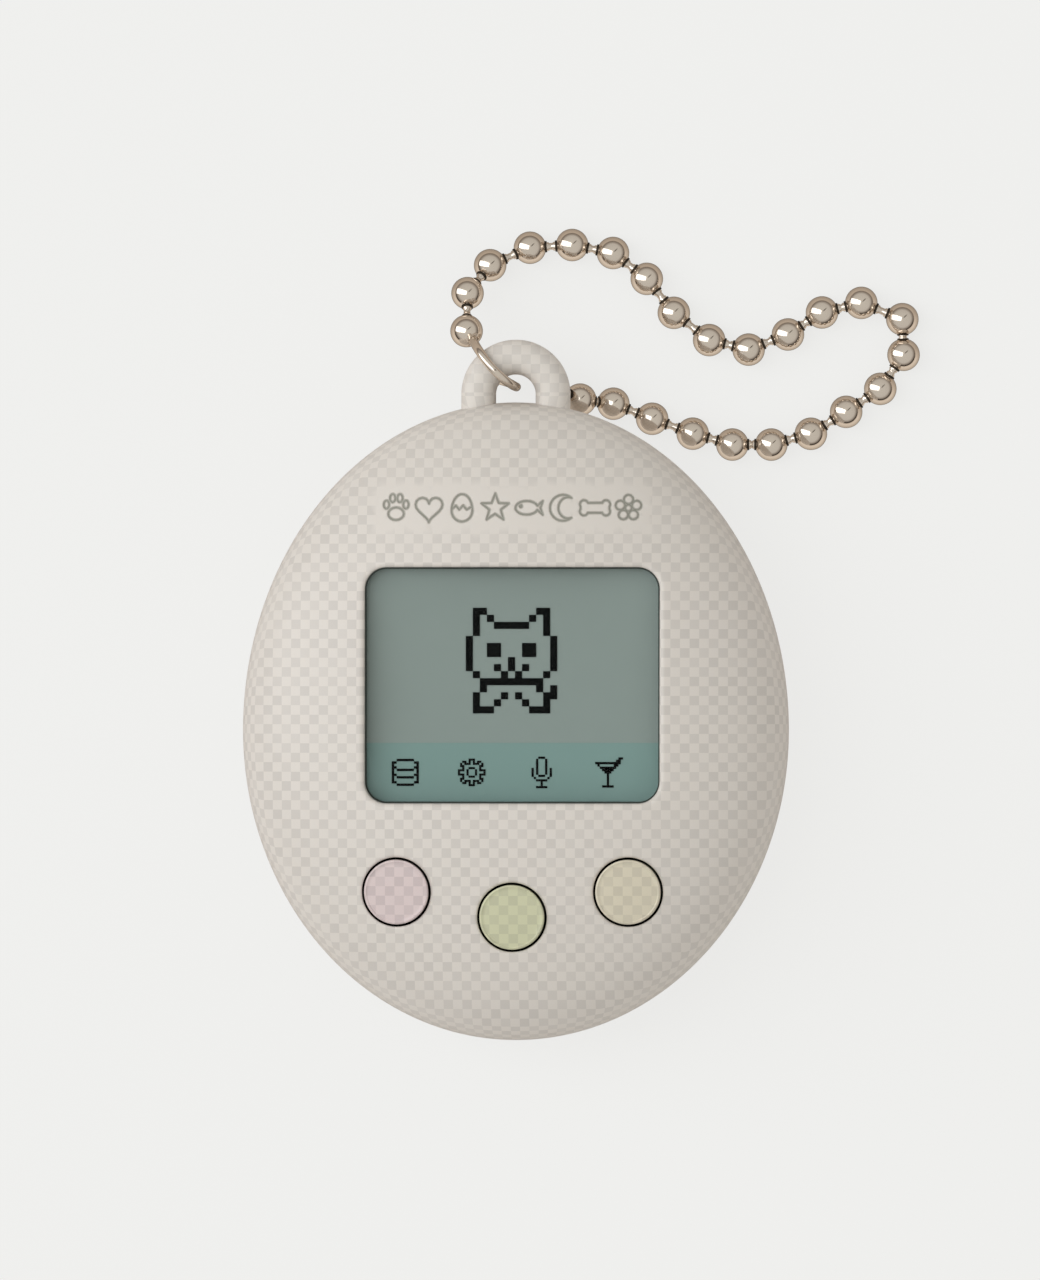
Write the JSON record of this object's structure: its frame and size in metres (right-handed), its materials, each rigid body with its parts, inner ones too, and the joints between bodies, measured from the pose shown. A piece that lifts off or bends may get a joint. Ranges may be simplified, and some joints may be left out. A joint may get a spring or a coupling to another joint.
{
  "type": "virtual pet keychain",
  "caption": "Egg-shaped electronic pet toy with a small screen, three push buttons and a ring ear that carries a ball chain.",
  "frame": {"origin": "on the flat back of the case, 0.6 mm above the level where the egg is widest, midway between its sides", "axes": "+Z out of the screen, +Y towards the keyring ear, +X to the right of the screen"},
  "size_m": [0.0495, 0.0596, 0.0149],
  "materials": {
    "case_plastic": "satin moulded ABS with a fine two-tone check print",
    "lens": "clear polished acrylic",
    "lcd_glass": "grey-green liquid crystal screen",
    "reflector": "satin film",
    "frame_plastic": "moulded",
    "zebra_rubber": "matt silicone",
    "board": "solder mask",
    "resin": "poured black resin",
    "contact_metal": "nickel plated",
    "capacitor_body": "epoxy",
    "keypad_rubber": "matt silicone",
    "button_pink": "satin, check print on pink",
    "button_green": "satin, check print on pale green",
    "button_cream": "satin, check print on cream",
    "sounder_brass": "lacquered",
    "cell_steel": "nickel plated, brushed",
    "screw_steel": "zinc plated",
    "chain_steel": "nickel plated, polished"
  },
  "bodies": {
    "case": {"front_shell": "case_plastic", "rear_shell": "case_plastic", "screen_lens": "lens", "lcd_panel": "lcd_glass", "lcd_reflector": "reflector", "lcd_frame": "frame_plastic", "zebra_strip": "zebra_rubber", "circuit_board": "board", "processor_blob": "resin", "clock_crystal": "contact_metal", "capacitor_1": "capacitor_body", "capacitor_2": "capacitor_body", "rubber_keypad": "keypad_rubber", "piezo_sounder": "sounder_brass", "button_cell_1": "cell_steel", "button_cell_2": "cell_steel", "contact_positive": "contact_metal", "contact_negative": "contact_metal", "case_screw_1": "screw_steel", "case_screw_2": "screw_steel", "case_screw_3": "screw_steel", "case_screw_4": "screw_steel"},
    "left_button": {"button_left": "button_pink"},
    "middle_button": {"button_middle": "button_green"},
    "right_button": {"button_right": "button_cream"},
    "cover": {"battery_cover": "case_plastic", "battery_cover_screw": "screw_steel", "contact_bridge": "contact_metal"},
    "chain_root": {"chain_hook": "chain_steel", "chain_link_01": "chain_steel", "chain_link_25": "chain_steel", "chain_link_26": "chain_steel", "chain_link_27": "chain_steel"},
    "link_02": {"chain_link_02": "chain_steel"},
    "link_03": {"chain_link_03": "chain_steel"},
    "link_04": {"chain_link_04": "chain_steel"},
    "link_05": {"chain_link_05": "chain_steel"},
    "link_06": {"chain_link_06": "chain_steel"},
    "link_07": {"chain_link_07": "chain_steel"},
    "link_08": {"chain_link_08": "chain_steel"},
    "link_09": {"chain_link_09": "chain_steel"},
    "link_10": {"chain_link_10": "chain_steel"},
    "link_11": {"chain_link_11": "chain_steel"},
    "link_12": {"chain_link_12": "chain_steel"},
    "link_13": {"chain_link_13": "chain_steel"},
    "link_14": {"chain_link_14": "chain_steel"},
    "link_15": {"chain_link_15": "chain_steel"},
    "link_16": {"chain_link_16": "chain_steel"},
    "link_17": {"chain_link_17": "chain_steel"},
    "link_18": {"chain_link_18": "chain_steel"},
    "link_19": {"chain_link_19": "chain_steel"},
    "link_20": {"chain_link_20": "chain_steel"},
    "link_21": {"chain_link_21": "chain_steel"},
    "link_22": {"chain_link_22": "chain_steel"},
    "link_23": {"chain_link_23": "chain_steel"},
    "link_24": {"chain_link_24": "chain_steel"}
  },
  "joints": [
    {"name": "button_left_press", "type": "slide", "parent": "case", "child": "left_button", "axis": [0, 0, -1], "range_m": [0, 0.0006], "stiffness_N_per_m": 300, "springref_m": -0.0001},
    {"name": "button_middle_press", "type": "slide", "parent": "case", "child": "middle_button", "axis": [0, 0, -1], "range_m": [0, 0.0006], "stiffness_N_per_m": 300, "springref_m": -0.0001},
    {"name": "button_right_press", "type": "slide", "parent": "case", "child": "right_button", "axis": [0, 0, -1], "range_m": [0, 0.0006], "stiffness_N_per_m": 300, "springref_m": -0.0001},
    {"name": "battery_cover_lift", "type": "slide", "parent": "case", "child": "cover", "axis": [0, 0, -1], "range_m": [0, 0.008]},
    {"name": "chain_swing", "type": "hinge", "parent": "case", "child": "chain_root", "pos_m": [0, 0.024, 0.007], "axis": [0, 0, 1], "range_deg": [-5, 25]},
    {"name": "chain_bend", "type": "hinge", "parent": "chain_root", "child": "link_02", "pos_m": [-0.0037, 0.03046, 0.004], "axis": [0, 0, 1], "range_deg": [-7.61, 7.61]},
    {"name": "chain_bend_03", "type": "hinge", "parent": "link_02", "child": "link_03", "pos_m": [-0.00272, 0.03278, 0.00242], "axis": [0, 0, 1], "range_deg": [-8.09, 8.09]},
    {"name": "chain_bend_04", "type": "hinge", "parent": "link_03", "child": "link_04", "pos_m": [-0.00028, 0.03442, 0.00142], "axis": [0, 0, 1], "range_deg": [-5.03, 5.03]},
    {"name": "chain_bend_05", "type": "hinge", "parent": "link_04", "child": "link_05", "pos_m": [0.0027, 0.03502, 0.0012], "axis": [0, 0, 1], "range_deg": [-2.71, 2.71]},
    {"name": "chain_bend_06", "type": "hinge", "parent": "link_05", "child": "link_06", "pos_m": [0.00572, 0.03474, 0.0012], "axis": [0, 0, 1], "range_deg": [-2.71, 2.71]},
    {"name": "chain_bend_07", "type": "hinge", "parent": "link_06", "child": "link_07", "pos_m": [0.00844, 0.03333, 0.0012], "axis": [0, 0, 1], "range_deg": [-5.17, 5.17]},
    {"name": "chain_bend_08", "type": "hinge", "parent": "link_07", "child": "link_08", "pos_m": [0.01065, 0.03104, 0.0012], "axis": [0, 0, 1], "range_deg": [-5.22, 5.22]},
    {"name": "chain_bend_09", "type": "hinge", "parent": "link_08", "child": "link_09", "pos_m": [0.01305, 0.02883, 0.0012], "axis": [0, 0, 1], "range_deg": [-4.21, 4.21]},
    {"name": "chain_bend_10", "type": "hinge", "parent": "link_09", "child": "link_10", "pos_m": [0.01573, 0.02768, 0.0012], "axis": [0, 0, 1], "range_deg": [-3.29, 3.29]},
    {"name": "chain_bend_11", "type": "hinge", "parent": "link_10", "child": "link_11", "pos_m": [0.01868, 0.02807, 0.0012], "axis": [0, 0, 1], "range_deg": [-2.9, 2.9]},
    {"name": "chain_bend_12", "type": "hinge", "parent": "link_11", "child": "link_12", "pos_m": [0.02129, 0.02945, 0.0012], "axis": [0, 0, 1], "range_deg": [-2.83, 2.83]},
    {"name": "chain_bend_13", "type": "hinge", "parent": "link_12", "child": "link_13", "pos_m": [0.02403, 0.03052, 0.0012], "axis": [0, 0, 1], "range_deg": [-2.73, 2.73]},
    {"name": "chain_bend_14", "type": "hinge", "parent": "link_13", "child": "link_14", "pos_m": [0.02709, 0.03005, 0.0012], "axis": [0, 0, 1], "range_deg": [-2.71, 2.71]},
    {"name": "chain_bend_15", "type": "hinge", "parent": "link_14", "child": "link_15", "pos_m": [0.02825, 0.0282, 0.0012], "axis": [0, 0, 1], "range_deg": [-2.79, 2.79]},
    {"name": "chain_bend_16", "type": "hinge", "parent": "link_15", "child": "link_16", "pos_m": [0.02728, 0.02549, 0.0012], "axis": [0, 0, 1], "range_deg": [-5.45, 5.45]},
    {"name": "chain_bend_17", "type": "hinge", "parent": "link_16", "child": "link_17", "pos_m": [0.02509, 0.02347, 0.0012], "axis": [0, 0, 1], "range_deg": [-6.18, 6.18]},
    {"name": "chain_bend_18", "type": "hinge", "parent": "link_17", "child": "link_18", "pos_m": [0.02252, 0.02183, 0.0012], "axis": [0, 0, 1], "range_deg": [-5.96, 5.96]},
    {"name": "chain_bend_19", "type": "hinge", "parent": "link_18", "child": "link_19", "pos_m": [0.01976, 0.02072, 0.0012], "axis": [0, 0, 1], "range_deg": [-5.18, 5.18]},
    {"name": "chain_bend_20", "type": "hinge", "parent": "link_19", "child": "link_20", "pos_m": [0.0169, 0.0204, 0.0012], "axis": [0, 0, 1], "range_deg": [-3.96, 3.96]},
    {"name": "chain_bend_21", "type": "hinge", "parent": "link_20", "child": "link_21", "pos_m": [0.01396, 0.02088, 0.0012], "axis": [0, 0, 1], "range_deg": [-2.71, 2.71]},
    {"name": "chain_bend_22", "type": "hinge", "parent": "link_21", "child": "link_22", "pos_m": [0.01093, 0.02189, 0.0012], "axis": [0, 0, 1], "range_deg": [-3.96, 3.96]},
    {"name": "chain_bend_23", "type": "hinge", "parent": "link_22", "child": "link_23", "pos_m": [0.00807, 0.02297, 0.00126], "axis": [0, 0, 1], "range_deg": [-9.54, 9.54]},
    {"name": "chain_bend_24", "type": "hinge", "parent": "link_23", "child": "link_24", "pos_m": [0.00571, 0.02356, 0.00161], "axis": [0, 0, 1], "range_deg": [-13.06, 13.06]}
  ],
  "couplings": [
    {"joint": "chain_bend_03", "follows": "chain_bend", "ratio": 0.7878},
    {"joint": "chain_bend_04", "follows": "chain_bend", "ratio": 0.4894},
    {"joint": "chain_bend_05", "follows": "chain_bend", "ratio": 0.2637},
    {"joint": "chain_bend_06", "follows": "chain_bend", "ratio": -0.2637},
    {"joint": "chain_bend_07", "follows": "chain_bend", "ratio": -0.503},
    {"joint": "chain_bend_08", "follows": "chain_bend", "ratio": -0.5081},
    {"joint": "chain_bend_09", "follows": "chain_bend", "ratio": -0.4097},
    {"joint": "chain_bend_10", "follows": "chain_bend", "ratio": -0.3201},
    {"joint": "chain_bend_11", "follows": "chain_bend", "ratio": -0.2826},
    {"joint": "chain_bend_12", "follows": "chain_bend", "ratio": -0.2759},
    {"joint": "chain_bend_13", "follows": "chain_bend", "ratio": -0.2661},
    {"joint": "chain_bend_14", "follows": "chain_bend", "ratio": -0.2637},
    {"joint": "chain_bend_15", "follows": "chain_bend", "ratio": 0.2717},
    {"joint": "chain_bend_16", "follows": "chain_bend", "ratio": 0.5309},
    {"joint": "chain_bend_17", "follows": "chain_bend", "ratio": 0.6019},
    {"joint": "chain_bend_18", "follows": "chain_bend", "ratio": 0.5803},
    {"joint": "chain_bend_19", "follows": "chain_bend", "ratio": 0.504},
    {"joint": "chain_bend_20", "follows": "chain_bend", "ratio": 0.385},
    {"joint": "chain_bend_21", "follows": "chain_bend", "ratio": 0.2637},
    {"joint": "chain_bend_22", "follows": "chain_bend", "ratio": -0.3855},
    {"joint": "chain_bend_23", "follows": "chain_bend", "ratio": -0.9286},
    {"joint": "chain_bend_24", "follows": "chain_bend", "ratio": -1.2712}
  ]
}
